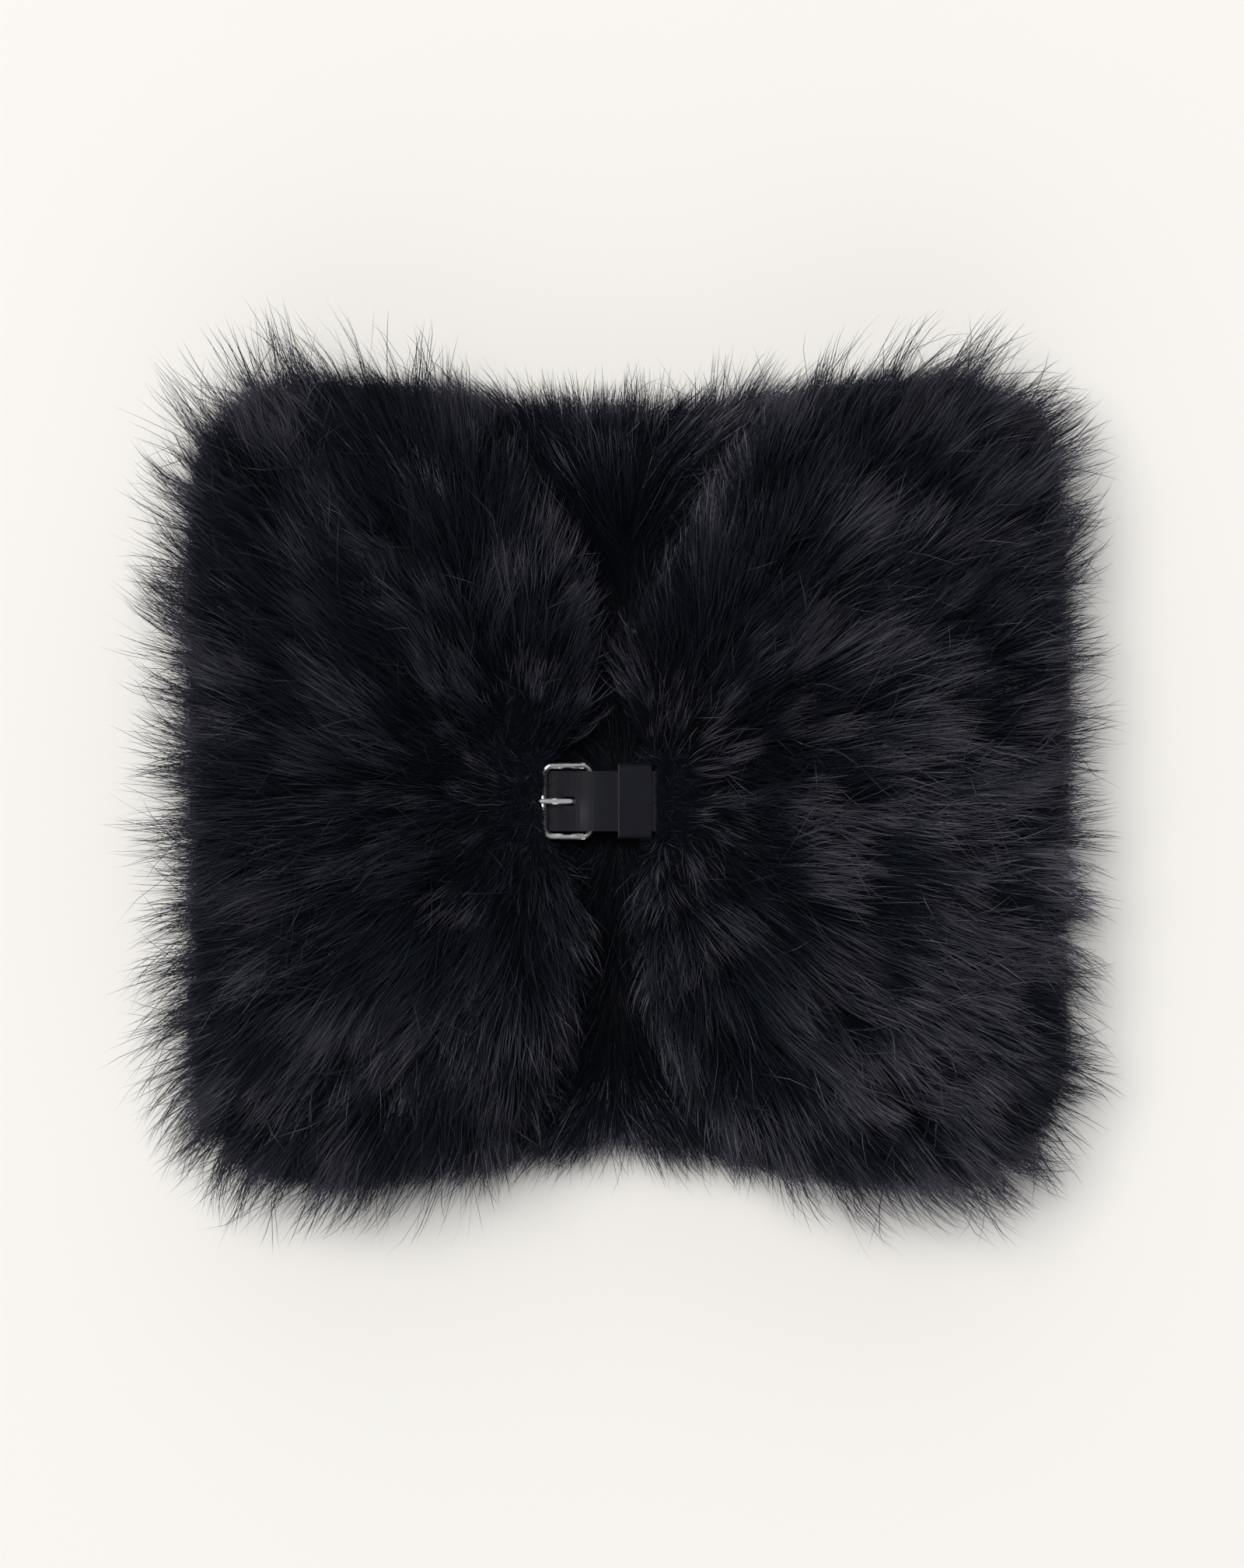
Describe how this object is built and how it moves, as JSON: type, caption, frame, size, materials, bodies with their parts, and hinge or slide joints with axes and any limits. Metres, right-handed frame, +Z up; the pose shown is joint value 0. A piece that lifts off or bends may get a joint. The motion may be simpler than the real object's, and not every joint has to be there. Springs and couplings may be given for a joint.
{
  "type": "fur collar wrap",
  "caption": "Deep-pile fur collar laid flat, its two gathered front ends joined by a narrow leather strap and a metal buckle, with a furred inside that shows above and below them.",
  "frame": {"origin": "middle of the flat underside, below the middle of the whole part", "axes": "+X to the right half of the wrap seen from above, +Y towards its top hem, +Z up, away from the surface it lies on"},
  "size_m": [0.3276, 0.2998, 0.0639],
  "materials": {
    "fur": "long glossy blue-black fur pile with fine pointed guard hairs",
    "leather": "smooth black strap leather, satin, with painted edges",
    "metal": "polished silver-coloured metal wire"
  },
  "bodies": {
    "root": {"back_outer": "fur", "back_inner": "fur", "front_left": "fur", "front_right": "fur", "strap": "leather", "buckle_tab": "leather", "keeper": "leather", "buckle_frame": "metal", "prong": "metal"}
  },
  "joints": []
}
